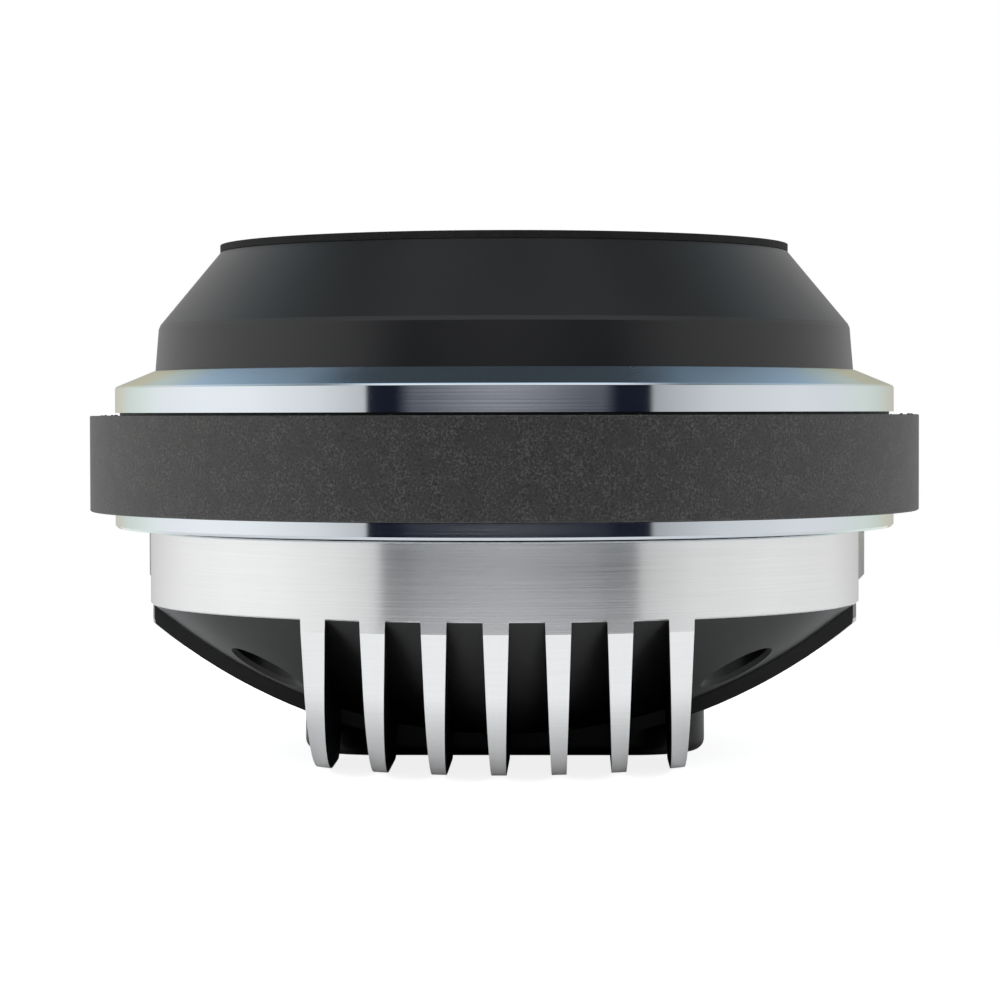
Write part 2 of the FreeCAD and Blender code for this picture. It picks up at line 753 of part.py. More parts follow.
def rear_cover():
    ring_top_radius = ring_radius - ring_edge_chamfer
    body = turn([
        sphere_arc(dome_surface_radius, cover_centre_z, 0, ring_radius),
        line((ring_radius, ring_bottom_z), (ring_radius, cover_top_z - ring_edge_chamfer)),
        line((ring_radius, cover_top_z - ring_edge_chamfer), (ring_top_radius, cover_top_z)),
        line((ring_top_radius, cover_top_z), (0, cover_top_z)),
        line((0, cover_top_z), (0, cover_centre_z - dome_surface_radius)),
    ])
    fins = []
    for number in range(fin_count):
        fins.append(fin_plate(number * fin_pitch - outer_fin_x))
    fins = Part.makeCompound(fins).common(fin_envelope()).cut(fin_gap_cutter())
    body = body.fuse([fins, cover_block()] + cover_ribs() + side_pads()).removeSplitter()
    cavity_foot_z = sphere_height(cavity_floor_radius, cover_centre_z, cavity_foot_radius)
    cavity = turn([
        sphere_arc(cavity_floor_radius, cover_centre_z, 0, cavity_foot_radius),
        line((cavity_foot_radius, cavity_foot_z), (cavity_radius, cavity_slope_top_z)),
        line((cavity_radius, cavity_slope_top_z), (cavity_radius, cover_seat_z)),
        line((cavity_radius, cover_seat_z), (recess_radius, cover_seat_z)),
        line((recess_radius, cover_seat_z), (recess_radius, cover_top_z + 1)),
        line((recess_radius, cover_top_z + 1), (0, cover_top_z + 1)),
        line((0, cover_top_z + 1), (0, cover_centre_z - cavity_floor_radius)),
    ])
    body = body.cut(cavity)
    body = body.cut(box((-ring_radius, terminal_flat_y, terminal_bottom_z),
                        (ring_radius, ring_radius + 1, cover_top_z + 1)))
    body = body.cut(box((-channel_half_width, 0, channel_bottom_z),
                        (channel_half_width, terminal_flat_y + 1, cover_seat_z)))
    for x in (-terminal_screw_x, terminal_screw_x):
        body = body.cut(terminal_screw_hole(x))
    for x, y in cover_screw_places():
        body = body.cut(rod(counterbore_radius, -1, counterbore_floor_z, x, y))
        body = body.cut(rod(cover_hole_radius, counterbore_floor_z - 1, cover_top_z, x, y))
    return body.makeChamfer(counterbore_lip, counterbore_mouths(body))


def counterbore_mouths(body):
    """The closed edges where the counterbores open in the domed surface."""
    width = 2 * counterbore_radius
    mouths = []
    for edge in body.Edges:
        limits = edge.BoundBox
        if abs(limits.XLength - width) < 0.1 and abs(limits.YLength - width) < 0.1 and limits.ZLength > 1:
            mouths.append(edge)
    return mouths


def cover_gasket():
    return tube(recess_radius, ring_radius - ring_edge_chamfer, cover_top_z, rim_bottom_z)


def damping_pad():
    lower = cavity_floor_radius - damping_pad_clearance
    upper = lower - damping_pad_thickness
    edge = damping_pad_radius
    return turn([
        sphere_arc(lower, cover_centre_z, 0, edge),
        line((edge, sphere_height(lower, cover_centre_z, edge)),
             (edge, sphere_height(upper, cover_centre_z, edge))),
        sphere_arc(upper, cover_centre_z, edge, 0),
        line((0, cover_centre_z - upper), (0, cover_centre_z - lower)),
    ])


def cover_screws():
    screws = []
    seat_z = counterbore_floor_z - washer_thickness
    head_bottom_z = seat_z - screw_head_height
    for x, y in cover_screw_places():
        screw = rod(screw_head_radius, head_bottom_z, seat_z, x, y)
        screw = screw.fuse(rod(screw_radius, seat_z, gap_face_z + cover_screw_thread_depth, x, y))
        socket = hexagon_prism(socket_across_flats, head_bottom_z - 1, head_bottom_z + socket_depth, x, y)
        screws.append(screw.cut(socket).removeSplitter())
    return screws


def cover_screw_washers():
    washers = []
    for x, y in cover_screw_places():
        washer = rod(washer_radius, counterbore_floor_z - washer_thickness, counterbore_floor_z, x, y)
        washers.append(washer.cut(rod(cover_hole_radius, 0, counterbore_floor_z + 1, x, y)))
    return washers


save("mounting_gasket", mounting_gasket())
save("throat_flange", throat_flange())
save_group("mounting_inserts", mounting_inserts())
save_group("throat_flange_screws", throat_flange_screws())
save("upper_plate", upper_plate())
save("upper_glue_ring", glue_ring(magnet_top_z, plate_bottom_z))
save("ferrite_magnet", ferrite_magnet())
save("lower_glue_ring", glue_ring(rim_top_z, magnet_bottom_z))
save("front_plate", front_plate())
save("pole_piece", pole_piece())
save("shorting_cap", shorting_cap())
save("phase_plug", phase_plug())
save("diaphragm_dome", diaphragm_dome())
save("coil_former", coil_former())
save("voice_coil", voice_coil())
save("diaphragm_surround", diaphragm_surround())
save("diaphragm_ring", diaphragm_ring())
save_group("diaphragm_screws", diaphragm_screws())
save_group("locating_pins", locating_pins())
save_group("lead_strips", both_tabs(lead_strip))
save_group("lead_wires", both_tabs(lead_wire))
negative_tab, positive_tab = both_tabs(terminal_tab)
save("negative_tab", negative_tab)
save("positive_tab", positive_tab)
save("terminal_block", terminal_block())
save_group("terminal_screws", terminal_screws())
save("rear_cover", rear_cover())
save("cover_gasket", cover_gasket())
save("damping_pad", damping_pad())
save_group("cover_screws", cover_screws())
save_group("cover_screw_washers", cover_screw_washers())
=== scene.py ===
import json
import math

import bpy
import numpy as np
from mathutils import Matrix, Vector


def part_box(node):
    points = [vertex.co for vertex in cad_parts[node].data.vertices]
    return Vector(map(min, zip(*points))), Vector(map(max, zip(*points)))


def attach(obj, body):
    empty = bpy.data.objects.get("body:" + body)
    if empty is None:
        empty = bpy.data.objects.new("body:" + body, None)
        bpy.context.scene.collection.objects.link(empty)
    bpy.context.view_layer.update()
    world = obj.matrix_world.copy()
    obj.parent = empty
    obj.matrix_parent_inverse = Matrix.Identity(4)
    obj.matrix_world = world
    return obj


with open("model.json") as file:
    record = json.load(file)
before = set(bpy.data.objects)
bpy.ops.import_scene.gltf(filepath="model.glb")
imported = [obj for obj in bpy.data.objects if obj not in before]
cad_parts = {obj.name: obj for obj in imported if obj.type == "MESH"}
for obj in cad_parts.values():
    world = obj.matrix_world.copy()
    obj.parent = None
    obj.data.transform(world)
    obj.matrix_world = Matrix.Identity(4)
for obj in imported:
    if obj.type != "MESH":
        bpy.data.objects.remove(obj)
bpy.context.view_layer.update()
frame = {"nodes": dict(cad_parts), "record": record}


# The camera, in metres and degrees, as fitted to the outlines in the photograph

IMAGE_PIXELS = 1000
FOCAL_PIXELS = 3104
SENSOR_WIDTH = 36.0
CAMERA_PLACE = Vector((0.0155, -0.6798, 0.0735))
LEVEL_LINE_ROW = 413.6
AXIS_COLUMN = 504.5
CAMERA_ROLL = -0.12
NEAREST_SEEN = 0.01
FURTHEST_SEEN = 20.0

# The turned outline of the rear cover, which its machined faces lie on

RING_RADIUS = 0.0771
LAND_BOTTOM_Z = 0.0304
FIN_FOOT_RADIUS = 0.050
FIN_SWEEP_RADIUS = 0.025
FIN_SWEEP_TOP_Z = 0.021
MACHINED_SKIN = 0.0003
TERMINAL_FLAT_Y = 0.0738

# Where the bevel of the upper plate starts

PLATE_RIM_TOP_Z = 0.0793

# Specks of dust on the bare metal: the grid they are scattered over, and their size in its cells

DUST_CELLS_PER_METRE = 85.0
DUST_CORE = 0.010
DUST_EDGE = 0.022

# The studio, in degrees round the part from the camera's side and up from level: a white wall
# round the sides and the back, a grey card in front, a soft box over the card, dark between them.
# Each EDGE is how far a border is softened to both sides

LEFT_WHITE_FROM = -38.0
LEFT_WHITE_EDGE = 0.6
RIGHT_WHITE_FROM = 43.5
RIGHT_WHITE_EDGE = 1.0
WALL_ROUND = (
    (-180, 0.46), (-160, 0.60), (-120, 0.92), (-95, 1.0), (-76, 0.97), (-53, 0.80),
    (LEFT_WHITE_FROM, 0.58), (42.6, 0.40), (50, 0.52), (64, 0.70), (93, 0.82),
    (130, 0.78), (160, 0.58), (180, 0.46),
)
WALL_UP = ((0, 1.0), (15, 0.97), (30, 0.90), (38, 0.75), (45, 0.55), (52, 0.30), (60, 0.12))
WALL_TOP = 60.0
WALL_LOW_TINT = (1.0, 1.0, 1.0)
WALL_HIGH_TINT = (0.80, 0.95, 1.0)
WALL_TINT_FROM = 24.0
WALL_TINT_TO = 45.0

CARD_LEFT = -27.0
CARD_RIGHT = 31.0
CARD_SIDE_EDGE = 3.0
CARD_LOWEST = -0.4
CARD_LOW_EDGE = 0.4
CARD_TOP = 20.0
CARD_TOP_EDGE = 5.0
CARD_MIDDLE_LIGHT = (0.40, 0.39, 0.42)
CARD_SIDE_LIGHT = (0.15, 0.155, 0.18)

BOX_LOWEST = 37.0
BOX_TOP = 72.0
BOX_EDGE = 2.0
BOX_REACH = 70.0
BOX_REACH_EDGE = 15.0
BOX_LIGHT = (0.9, 0.93, 0.96)

LOW_DARK = (0.010, 0.012, 0.022)
HIGH_DARK = (0.050, 0.062, 0.082)
LOW_DARK_BELOW = 5.0
HIGH_DARK_ABOVE = 40.0

BLACK = (0.0, 0.0, 0.0)
WHITE = (1.0, 1.0, 1.0)

# The floor, in metres. It gives off light of its own to the camera, so that it is white there,
# and to shiny surfaces further out than the fins

FLOOR_RADIUS = 0.32
FLOOR_RINGS = 11
FLOOR_STEPS_ROUND = 96
FLOOR_LIFT = 0.85
FLOOR_SHEEN = 0.20
FLOOR_DARK_WITHIN = 0.048
FLOOR_BRIGHT_FROM = 0.066

OVERHEAD_WATTS = 4.0
OVERHEAD_PLACE = Vector((0.0, -0.25, 0.9))
OVERHEAD_AIM = Vector((0.0, 0.0, 0.05))
OVERHEAD_WIDTH = 0.7
OVERHEAD_DEPTH = 0.5

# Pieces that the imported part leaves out: the threads of its inserts and the crumbs of adhesive
# on the ledge of the magnet

INSERT_COUNT = 4
THREAD_PITCH = 0.0010
THREAD_ROOT = 0.00296
THREAD_CREST = 0.00250
THREAD_STEPS_ROUND = 36
THREAD_STEPS_PER_PITCH = 8

CRUMB_COUNT = 90
CRUMB_SIZES = (0.00012, 0.00042)
CRUMB_SEED = 11
CRUMB_STEPS_DOWN = 7
CRUMB_STEPS_ROUND = 10
CRUMB_POLE_ANGLE = 0.02
CRUMB_HEIGHT = 0.5
CRUMB_LIFT = 0.1
CRUMB_TWO_WAVES = 0.22
CRUMB_THREE_WAVES = 0.14


class Value:
    """A socket whose number takes part in arithmetic: each sign adds its Math node."""

    def __init__(self, tree, socket):
        self.tree = tree
        self.socket = socket

    def __add__(self, other):
        return self.tree.math("ADD", self, other)

    def __sub__(self, other):
        return self.tree.math("SUBTRACT", self, other)

    def __rsub__(self, other):
        return self.tree.math("SUBTRACT", other, self)

    def __mul__(self, other):
        return self.tree.math("MULTIPLY", self, other)

    def __truediv__(self, other):
        return self.tree.math("DIVIDE", self, other)

    def __pow__(self, other):
        return self.tree.math("POWER", self, other)

    __radd__ = __add__
    __rmul__ = __mul__

    def size(self):
        """The number without its sign."""
        return self.tree.math("ABSOLUTE", self)

    def rises(self, low, high):
        """0 below low, 1 above high, and a smooth step between."""
        return self.tree.node("ShaderNodeMapRange", {"interpolation_type": "SMOOTHSTEP"},
                              {"Value": self, "From Min": low, "From Max": high})

    def falls(self, low, high):
        """1 below low, 0 above high, and a smooth step between."""
        return 1 - self.rises(low, high)

    def above(self, border, edge):
        """0 below the border and 1 above it, softened by edge to both sides."""
        return self.rises(border - edge, border + edge)

    def below(self, border, edge):
        """1 below the border and 0 above it, softened by edge to both sides."""
        return self.falls(border - edge, border + edge)


class Tree:
    """The nodes of a material or a world, all added by one method."""

    def __init__(self, owner):
        owner.use_nodes = True
        self.nodes = owner.node_tree.nodes
        self.links = owner.node_tree.links

    def node(self, kind, settings=None, inputs=None, output=0):
        made = self.nodes.new(kind)
        for name, setting in (settings or {}).items():
            if name == "stops":
                self.set_stops(made.color_ramp, setting)
            else:
                setattr(made, name, setting)
        for name, value in (inputs or {}).items():
            self.feed(made.inputs[name], value)
        return Value(self, made.outputs[output])

    def set_stops(self, ramp, stops):
        while len(ramp.elements) < len(stops):
            ramp.elements.new(1.0)
        for element, (place, tone) in zip(ramp.elements, stops):
            element.position = place
            element.color = (tone, tone, tone, 1.0)

    def feed(self, socket, value):
        """Links a socket to a Value, or sets it to a number or a colour."""
        if isinstance(value, Value):
            self.links.new(value.socket, socket)
        elif socket.type == "RGBA" and len(value) == 3:
            socket.default_value = (*value, 1.0)
        else:
            socket.default_value = value

    def math(self, operation, first, second=0.0):
        return self.node("ShaderNodeMath", {"operation": operation}, {0: first, 1: second})

    def more(self, first, second):
        """1 where first is more than second, or else 0."""
        return self.math("GREATER_THAN", first, second)

    def less(self, first, second):
        """1 where first is less than second, or else 0."""
        return self.math("LESS_THAN", first, second)

    def larger(self, first, second):
        return self.math("MAXIMUM", first, second)

    def mix(self, factor, low, high):
        """The colour low where factor is 0 and high where it is 1."""
        return self.node("ShaderNodeMix", {"data_type": "RGBA"}, {0: factor, 6: low, 7: high}, output=2)

    def vector(self, x, y, z):
        return self.node("ShaderNodeCombineXYZ", None, {0: x, 1: y, 2: z})

    def place(self):
        """The point on the piece, in metres from the part's origin, or the direction in a world."""
        return self.node("ShaderNodeTexCoord", output="Object")

    def split(self, vector):
        """The three parts of a vector."""
        parts = self.node("ShaderNodeSeparateXYZ", None, {0: vector}).socket.node.outputs
        return [Value(self, part) for part in parts]

    def noise(self, vector, scale, detail=2.0, roughness=0.5):
        return self.node("ShaderNodeTexNoise", None,
                         {"Vector": vector, "Scale": scale, "Detail": detail, "Roughness": roughness})

    def ramp(self, factor, stops):
        return self.node("ShaderNodeValToRGB", {"stops": stops}, {0: factor})

    def grey(self, colour):
        """The level of a grey colour."""
        return self.node("ShaderNodeRGBToBW", None, {0: colour})


class Finish(Tree):
    """A material with one Principled shader."""

    def __init__(self, name, **numbers):
        self.material = bpy.data.materials.new(name)
        super().__init__(self.material)
        self.shader = self.nodes["Principled BSDF"]
        self.surface(**numbers)

    def surface(self, **values):
        for socket, value in values.items():
            self.feed(self.shader.inputs[socket.replace("_", " ")], value)

    def bump(self, height, depth):
        """Raises the surface by height times depth, in metres."""
        normal = self.node("ShaderNodeBump", None, {"Height": height, "Distance": depth, "Strength": 1.0})
        self.surface(Normal=normal)

    def about_the_axis(self):
        """The distance from the part's axis, the height, and the two parts of the direction."""
        x, y, z = self.split(self.place())
        radius = (x * x + y * y) ** 0.5
        return radius, z, x / radius, y / radius

    def turning_lines(self, per_metre, round_length=1.6):
        """Noise that is long round the axis and fine along a turned outline."""
        radius, height, east, north = self.about_the_axis()
        vector = self.vector(east * round_length, north * round_length, height * per_metre)
        return self.node("ShaderNodeTexNoise", {"noise_dimensions": "4D"},
                         {"Vector": vector, "W": radius * per_metre, "Scale": 1.0, "Detail": 3.0})

    def dust(self):
        """1 on scattered specks, 0 between them."""
        cells = self.node("ShaderNodeTexVoronoi", None,
                          {"Vector": self.place(), "Scale": DUST_CELLS_PER_METRE})
        return cells.falls(DUST_CORE, DUST_EDGE)


# Finishes

def gasket_rubber():
    """Dull cork rubber, with a grain that shows on the cut edge."""
    finish = Finish("gasket_rubber", Specular_IOR_Level=0.3)
    place = finish.place()
    grain = finish.noise(place, 900.0, detail=4.0, roughness=0.7)
    blotches = finish.noise(place, 90.0)
    colour = finish.mix(grain * blotches, (0.006, 0.006, 0.006), (0.045, 0.044, 0.042))
    finish.surface(Base_Color=colour, Roughness=0.7 + 0.2 * grain)
    finish.bump(grain, 0.00012)
    return finish.material


def flange_black():
    """Black powder coat: even, satin, with a very fine orange peel."""
    finish = Finish("flange_black", Specular_IOR_Level=0.5)
    place = finish.place()
    peel = finish.noise(place, 1400.0)
    cloud = finish.noise(place, 30.0)
    colour = finish.mix(cloud, (0.011, 0.011, 0.012), (0.018, 0.018, 0.019))
    finish.surface(Base_Color=colour, Roughness=0.28 + 0.08 * cloud)
    finish.bump(peel, 0.000012)
    return finish.material


def zinc_steel():
    """Bright zinc plate over turned steel, bluish; the green and straw towards both sides are painted
    sheen, the tint zinc shows at a grazing view, set into the colour by place.
    """
    finish = Finish("zinc_steel", Metallic=1.0, Anisotropic=0.8, Anisotropic_Rotation=0.25)
    lines = finish.turning_lines(2600.0)
    height, east, north = finish.about_the_axis()[1:]
    sideways = east.size()
    cloud = finish.noise(finish.vector(east * 2.0, north * 2.0, height * 30.0), 1.0, detail=3.0)
    bevel = finish.more(height, PLATE_RIM_TOP_Z)

    rim_blue = finish.mix(cloud, (0.74, 0.81, 0.87), (0.80, 0.84, 0.87))
    blue = finish.mix(bevel, rim_blue, (0.60, 0.78, 0.97))
    green = (0.72, 0.84, 0.79)
    straw = (0.80, 0.78, 0.54)
    # Painted sheen: green, then straw, towards the left and right sides and sooner on the bevel, where
    # the zinc is seen at a grazing view
    side_sheen_place = sideways + 0.10 * (cloud - 0.5) + 0.07 * bevel
    tint = finish.mix(side_sheen_place.rises(0.78, 0.92), blue, green)
    tint = finish.mix(side_sheen_place.rises(0.92, 0.985), tint, straw)
    colour = finish.mix(finish.dust(), tint, (0.20, 0.21, 0.22))

    bevel_roughness = 0.05 + 0.30 * sideways.rises(0.2, 0.5)
    finish.surface(Base_Color=colour, Roughness=0.05 + 0.07 * lines + bevel * bevel_roughness)
    finish.bump(lines * (1 - bevel), 0.000004)
    return finish.material


def ferrite():
    """Ground ferrite: charcoal with pale and black grains."""
    finish = Finish("ferrite", Specular_IOR_Level=0.65)
    place = finish.place()
    fine = finish.noise(place, 2200.0, detail=4.0, roughness=0.7)
    cloud = finish.noise(place, 240.0, detail=4.0, roughness=0.6)
    pale = fine.rises(0.50, 0.64) * (0.25 + 1.5 * cloud.rises(0.35, 0.65))
    pits = fine.falls(0.35, 0.46)
    ground = finish.mix(pale, (0.034, 0.033, 0.031), (0.092, 0.090, 0.084))
    colour = finish.mix(pits, ground, (0.004, 0.004, 0.004))
    finish.surface(Base_Color=colour, Roughness=0.42 + 0.12 * fine)
    finish.bump(fine, 0.00004)
    return finish.material


def cover_outline(finish, height):
    """The radius of the turned outline of the rear cover: swept, then straight, then the ring."""
    sunk = FIN_SWEEP_RADIUS - height
    sweep = FIN_FOOT_RADIUS + (FIN_SWEEP_RADIUS ** 2 - sunk * sunk) ** 0.5
    sweep_sunk = FIN_SWEEP_RADIUS - FIN_SWEEP_TOP_Z
    sweep_top_radius = FIN_FOOT_RADIUS + math.sqrt(FIN_SWEEP_RADIUS ** 2 - sweep_sunk ** 2)
    slope = (RING_RADIUS - sweep_top_radius) / (LAND_BOTTOM_Z - FIN_SWEEP_TOP_Z)
    straight = sweep_top_radius + (height - FIN_SWEEP_TOP_Z) * slope
    on_sweep = finish.less(height, FIN_SWEEP_TOP_Z)
    on_ring = finish.more(height, LAND_BOTTOM_Z)
    return on_sweep * sweep + (1 - on_sweep) * (1 - on_ring) * straight + on_ring * RING_RADIUS


def cover_casting():
    """Aluminium casting, coated black and then turned bright on its outer faces."""
    finish = Finish("cover_casting", Anisotropic=0.9, Anisotropic_Rotation=0.25)
    place = finish.place()
    y = finish.split(place)[1]
    radius, height = finish.about_the_axis()[:2]
    turned = finish.more(radius, cover_outline(finish, height) - MACHINED_SKIN)
    milled = finish.more(y, TERMINAL_FLAT_Y)
    tips = finish.less(height, MACHINED_SKIN)
    bright = finish.larger(finish.larger(turned, milled), tips)
    ring = finish.more(height, LAND_BOTTOM_Z)
    side_pads = finish.more(radius, RING_RADIUS + MACHINED_SKIN)

    lines = finish.turning_lines(3400.0, round_length=2.2)
    grain = finish.noise(place, 1100.0, detail=3.0)
    cloud = finish.noise(place, 45.0)
    metal = finish.mix(lines, (0.84, 0.84, 0.84), (0.93, 0.93, 0.93))
    metal = finish.mix(finish.dust(), metal, (0.25, 0.25, 0.25))
    coat = finish.mix(cloud, (0.010, 0.010, 0.010), (0.016, 0.016, 0.017))
    metal_roughness = 0.10 + ring * (0.09 + 0.06 * lines) + 0.4 * side_pads
    coat_roughness = 0.42 + 0.10 * cloud
    finish.surface(Base_Color=finish.mix(bright, coat, metal), Metallic=bright,
                   Roughness=bright * metal_roughness + (1 - bright) * coat_roughness)
    finish.bump(bright * ring * lines * 0.3 + (1 - bright) * grain, 0.00003)
    return finish.material


def black_adhesive():
    """Set adhesive: black, lumpy, half glossy."""
    finish = Finish("adhesive", Specular_IOR_Level=0.4)
    lumps = finish.noise(finish.place(), 500.0, detail=3.0)
    colour = finish.mix(lumps, (0.004, 0.004, 0.006), (0.016, 0.016, 0.020))
    finish.surface(Base_Color=colour, Roughness=0.35 + 0.3 * lumps)
    finish.bump(lumps, 0.0001)
    return finish.material


def copper_wire():
    """Enamelled copper: fine windings along the axis."""
    finish = Finish("copper", Metallic=1.0)
    wire_pitch = 0.0004
    height = finish.split(finish.place())[2]
    windings = finish.math("SINE", height * (2 * math.pi / wire_pitch))
    patina = finish.noise(finish.place(), 300.0, detail=3.0)
    colour = finish.mix(patina, (0.62, 0.25, 0.12), (0.86, 0.42, 0.25))
    finish.surface(Base_Color=colour, Roughness=0.22 + 0.2 * patina)
    finish.bump(windings, 0.00002)
    return finish.material


def plain_metal(name, dull, clean, roughness):
    """A metal between two tones, with fine turning lines."""
    finish = Finish(name, Metallic=1.0)
    lines = finish.turning_lines(2500.0)
    finish.surface(Base_Color=finish.mix(lines, dull, clean), Roughness=roughness + 0.15 * lines)
    finish.bump(lines, 0.000006)
    return finish.material


def plain_plastic(name, dark, light, roughness, grain_size=0.0008, depth=0.00003):
    """A moulded or fibrous material with a grain of one size."""
    finish = Finish(name)
    grain = finish.noise(finish.place(), 1 / grain_size, detail=3.0)
    finish.surface(Base_Color=finish.mix(grain, dark, light), Roughness=roughness + 0.1 * grain)
    finish.bump(grain, depth)
    return finish.material


PLAIN_METALS = {
    "brass_insert": ((0.55, 0.40, 0.16), (0.78, 0.60, 0.28), 0.25),
    "black_steel": ((0.035, 0.035, 0.04), (0.07, 0.07, 0.075), 0.32),
    "titanium_foil": ((0.42, 0.40, 0.38), (0.58, 0.56, 0.53), 0.30),
    "bare_aluminium": ((0.74, 0.74, 0.75), (0.88, 0.88, 0.89), 0.28),
    "tinned_brass": ((0.66, 0.65, 0.62), (0.82, 0.81, 0.78), 0.25),
}
PLAIN_PLASTICS = {
    "plug_plastic": ((0.010, 0.010, 0.011), (0.024, 0.024, 0.026), 0.45),
    "former_film": ((0.30, 0.16, 0.04), (0.46, 0.27, 0.08), 0.30),
    "surround_film": ((0.52, 0.50, 0.44), (0.68, 0.66, 0.58), 0.35),
    "foam": ((0.01, 0.01, 0.01), (0.09, 0.09, 0.09), 0.85, 0.0016, 0.0005),
    "terminal_plastic": ((0.012, 0.012, 0.012), (0.028, 0.028, 0.028), 0.38),
}


def coloured_nodes():
    """Gives every node of the part its finish, by the slots of the record."""
    finishes = {
        "gasket_rubber": gasket_rubber(),
        "flange_black": flange_black(),
        "zinc_steel": zinc_steel(),
        "ferrite": ferrite(),
        "cover_casting": cover_casting(),
        "adhesive": black_adhesive(),
        "copper": copper_wire(),
    }
    for name, look in PLAIN_METALS.items():
        finishes[name] = plain_metal(name, *look)
    for name, look in PLAIN_PLASTICS.items():
        finishes[name] = plain_plastic(name, *look)
    for part in frame["record"]["subparts"]:
        node = frame["nodes"][part["node"]]
        node.data.materials.clear()
        node.data.materials.append(finishes[part["material_slot"]])


# Added pieces

def grid_quads(rows, columns, start=0):
    """Corner numbers of the quads of a grid of points whose rows are closed rings."""
    row, column = np.meshgrid(np.arange(rows - 1), np.arange(columns), indexing="ij")
    after = (column + 1) % columns
    here = row * columns
    below = here + columns
    corners = [here + column, here + after, below + after, below + column]
    return np.stack(corners, axis=-1).reshape(-1, 4) + start


def piece_from_grids(name, grids, stands_like):
    """One smooth piece of equal grids, with the finish of a node of the part, attached to the driver
    body.
    """
    count, rows, columns = grids.shape[:3]
    quads = [grid_quads(rows, columns, index * rows * columns) for index in range(count)]
    mesh = bpy.data.meshes.new(name)
    mesh.from_pydata(grids.reshape(-1, 3).tolist(), [], np.vstack(quads).tolist())
    mesh.polygons.foreach_set("use_smooth", np.full(len(mesh.polygons), True))
    mesh.materials.append(frame["nodes"][stands_like].data.materials[0])
    piece = bpy.data.objects.new(name, mesh)
    bpy.context.collection.objects.link(piece)
    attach(piece, "driver_body")


def node_boxes(node, count):
    """The lowest and highest corners of the equal solids of a node, one in each sector."""
    mesh = frame["nodes"][node].data
    points = np.empty(len(mesh.vertices) * 3)
    mesh.vertices.foreach_get("co", points)
    points = points.reshape(-1, 3)
    turn = np.arctan2(points[:, 1], points[:, 0])
    sector = np.floor(turn / (2 * math.pi / count)).astype(int) % count
    groups = [points[sector == index] for index in range(count)]
    return [(group.min(axis=0), group.max(axis=0)) for group in groups]


def insert_threads():
    """Metric threads in the brass inserts.

    The radius runs straight between root and crest and back once per pitch, and the whole
    profile climbs one pitch per turn. The ends run out to the root.
    """
    grids = []
    for low, high in node_boxes("mounting_inserts", INSERT_COUNT):
        middle = (low + high) / 2
        length = high[2] - low[2]
        steps = int(length / THREAD_PITCH * THREAD_STEPS_PER_PITCH)
        turn = np.linspace(0.0, 2 * math.pi, THREAD_STEPS_ROUND, endpoint=False)[None, :]
        rise = np.linspace(0.0, length, steps + 1)[:, None]
        phase = rise / THREAD_PITCH - turn / (2 * math.pi)
        tooth = 1.0 - np.abs(2.0 * (phase - np.floor(phase)) - 1.0)
        from_end = np.minimum(rise, length - rise)
        tooth = tooth * np.clip(from_end / THREAD_PITCH, 0.0, 1.0)
        radius = THREAD_ROOT - tooth * (THREAD_ROOT - THREAD_CREST)
        x = middle[0] + radius * np.cos(turn)
        y = middle[1] + radius * np.sin(turn)
        z = low[2] + rise + 0.0 * turn
        grids.append(np.stack([x, y, z], axis=-1))
    piece_from_grids("insert_threads", np.stack(grids), "mounting_inserts")


def adhesive_crumbs():
    """Crumbs of set adhesive on the ledge of the magnet, outside the upper plate.

    Each is a ball with its height halved and its radius changed by two waves round it.
    """
    chance = np.random.default_rng(CRUMB_SEED)
    magnet_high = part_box("ferrite_magnet")[1]
    plate_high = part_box("upper_plate")[1]
    largest = CRUMB_SIZES[1]
    inner = plate_high[0] + largest
    outer = magnet_high[0] - 2.0 * largest
    size = chance.uniform(*CRUMB_SIZES, CRUMB_COUNT)[:, None, None]
    radius = chance.uniform(inner, outer, CRUMB_COUNT)[:, None, None]
    angle = chance.uniform(0.0, 2 * math.pi, CRUMB_COUNT)[:, None, None]
    phase = chance.uniform(0.0, 2 * math.pi, CRUMB_COUNT)[:, None, None]
    down = np.linspace(CRUMB_POLE_ANGLE, math.pi - CRUMB_POLE_ANGLE, CRUMB_STEPS_DOWN)[None, :, None]
    turn = np.linspace(0.0, 2 * math.pi, CRUMB_STEPS_ROUND, endpoint=False)[None, None, :]
    waves = CRUMB_TWO_WAVES * np.sin(2 * turn + phase) + CRUMB_THREE_WAVES * np.sin(3 * turn - phase)
    bulge = size * (1.0 + waves)
    x = radius * np.cos(angle) + bulge * np.sin(down) * np.cos(turn)
    y = radius * np.sin(angle) + bulge * np.sin(down) * np.sin(turn)
    z = magnet_high[2] + CRUMB_HEIGHT * size * np.cos(down) + CRUMB_LIFT * size + 0.0 * turn
    piece_from_grids("adhesive_crumbs", np.stack([x, y, z], axis=-1), "upper_glue_ring")


# The studio

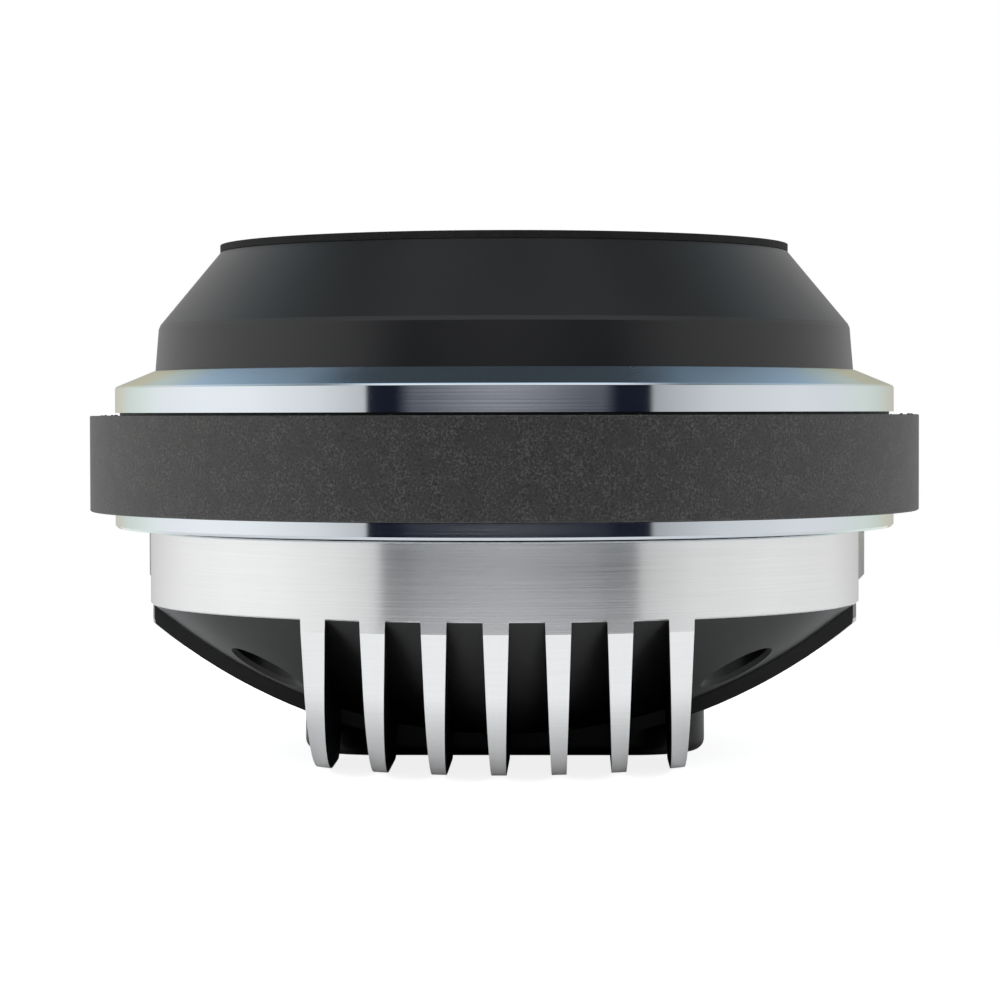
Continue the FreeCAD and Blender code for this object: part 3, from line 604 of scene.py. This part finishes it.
def studio_world():
    """White for the camera; for every other ray, white sides and back, a grey card, dark above."""
    world = bpy.data.worlds.new("studio")
    bpy.context.scene.world = world
    tree = Tree(world)
    x, y, z = tree.split(tree.place())
    degrees = 180 / math.pi
    turn = tree.math("ARCTAN2", x, 0 - y) * degrees
    rise = tree.math("ARCSINE", z) * degrees

    on_left_wall = turn.below(LEFT_WHITE_FROM, LEFT_WHITE_EDGE)
    on_right_wall = turn.above(RIGHT_WHITE_FROM, RIGHT_WHITE_EDGE)
    round_stops = [((place + 180) / 360, light) for place, light in WALL_ROUND]
    up_stops = [(place / WALL_TOP, light) for place, light in WALL_UP]
    light_round = tree.grey(tree.ramp((turn + 180) / 360, round_stops))
    light_up = tree.grey(tree.ramp(rise / WALL_TOP, up_stops))
    wall_tint = tree.mix(rise.rises(WALL_TINT_FROM, WALL_TINT_TO), WALL_LOW_TINT, WALL_HIGH_TINT)
    wall = tree.mix(light_round * light_up, BLACK, wall_tint)

    on_card = turn.above(CARD_LEFT, CARD_SIDE_EDGE) * turn.below(CARD_RIGHT, CARD_SIDE_EDGE)
    on_card = on_card * rise.above(CARD_LOWEST, CARD_LOW_EDGE) * rise.below(CARD_TOP, CARD_TOP_EDGE)
    card = tree.mix(turn.size().rises(0.0, CARD_RIGHT), CARD_MIDDLE_LIGHT, CARD_SIDE_LIGHT)

    on_box = rise.above(BOX_LOWEST, BOX_EDGE) * rise.below(BOX_TOP, BOX_EDGE)
    on_box = on_box * turn.size().below(BOX_REACH, BOX_REACH_EDGE)

    room = tree.mix(rise.rises(LOW_DARK_BELOW, HIGH_DARK_ABOVE), LOW_DARK, HIGH_DARK)
    room = tree.mix(on_card, room, card)
    room = tree.mix(on_left_wall + on_right_wall, room, wall)
    room = tree.mix(on_box, room, BOX_LIGHT)
    seen = tree.node("ShaderNodeLightPath", output="Is Camera Ray")
    background = tree.nodes["Background"]
    tree.feed(background.inputs["Color"], tree.mix(seen, room, WHITE))
    tree.feed(background.inputs["Strength"], 1.0)


def studio_floor():
    """A white disc at the fin tips, lifted to white where no shadow falls."""
    rings = np.linspace(FLOOR_RADIUS, 0.0, FLOOR_RINGS + 1)[:-1]
    turns = np.linspace(0.0, 2 * math.pi, FLOOR_STEPS_ROUND, endpoint=False)
    x = np.outer(rings, np.cos(turns)).ravel()
    y = np.outer(rings, np.sin(turns)).ravel()
    centre = np.zeros((1, 3))
    points = np.vstack([np.stack([x, y, np.zeros_like(x)], axis=1), centre])
    quads = grid_quads(FLOOR_RINGS, FLOOR_STEPS_ROUND)
    step = np.arange(FLOOR_STEPS_ROUND)
    innermost = (FLOOR_RINGS - 1) * FLOOR_STEPS_ROUND
    last_point = np.full(FLOOR_STEPS_ROUND, len(points) - 1)
    fan = np.stack([last_point, innermost + step, innermost + (step + 1) % FLOOR_STEPS_ROUND], axis=1)
    mesh = bpy.data.meshes.new("floor")
    mesh.from_pydata(points.tolist(), [], quads.tolist() + fan.tolist())
    floor = bpy.data.objects.new("floor", mesh)
    bpy.context.collection.objects.link(floor)

    finish = Finish("floor_white", Roughness=0.9, Base_Color=(0.85, 0.85, 0.85))
    light_path = finish.node("ShaderNodeLightPath").socket.node.outputs
    camera_ray, glass_ray, glossy_ray = [
        Value(finish, light_path[name])
        for name in ("Is Camera Ray", "Is Transmission Ray", "Is Glossy Ray")
    ]
    radius = finish.about_the_axis()[0]
    sheen = glossy_ray * radius.rises(FLOOR_DARK_WITHIN, FLOOR_BRIGHT_FROM)
    level = (camera_ray + glass_ray) * FLOOR_LIFT + sheen * FLOOR_SHEEN
    finish.surface(Emission_Color=finish.mix(level, BLACK, WHITE), Emission_Strength=1.0)
    mesh.materials.append(finish.material)


def overhead_lamp():
    """A soft box over the part, which shiny surfaces don't show."""
    data = bpy.data.lights.new("overhead_box", "AREA")
    data.shape = "RECTANGLE"
    data.size = OVERHEAD_WIDTH
    data.size_y = OVERHEAD_DEPTH
    data.energy = OVERHEAD_WATTS
    lamp = bpy.data.objects.new("overhead_box", data)
    bpy.context.collection.objects.link(lamp)
    lamp.location = OVERHEAD_PLACE
    lamp.rotation_euler = (OVERHEAD_AIM - OVERHEAD_PLACE).to_track_quat("-Z", "Y").to_euler()
    lamp.visible_glossy = False


def studio_camera():
    """Stands where the photograph was taken from, and looks a little left of the axis and down."""
    data = bpy.data.cameras.new("camera")
    data.sensor_width = SENSOR_WIDTH
    data.lens = SENSOR_WIDTH * FOCAL_PIXELS / IMAGE_PIXELS
    data.clip_start = NEAREST_SEEN
    data.clip_end = FURTHEST_SEEN
    camera = bpy.data.objects.new("camera", data)
    bpy.context.collection.objects.link(camera)
    middle = IMAGE_PIXELS / 2
    yaw_to_axis = math.atan2(CAMERA_PLACE.x, -CAMERA_PLACE.y)
    yaw = yaw_to_axis + math.atan((AXIS_COLUMN - middle) / FOCAL_PIXELS)
    pitch = math.atan((middle - LEVEL_LINE_ROW) / FOCAL_PIXELS)
    turn = Matrix.Rotation(yaw, 4, "Z") @ Matrix.Rotation(math.pi / 2 - pitch, 4, "X")
    turn = turn @ Matrix.Rotation(math.radians(CAMERA_ROLL), 4, "Z")
    camera.matrix_world = Matrix.Translation(CAMERA_PLACE) @ turn
    bpy.context.scene.camera = camera


coloured_nodes()
insert_threads()
adhesive_crumbs()
studio_world()
studio_floor()
studio_camera()
overhead_lamp()

bpy.context.scene.view_settings.view_transform = "Standard"
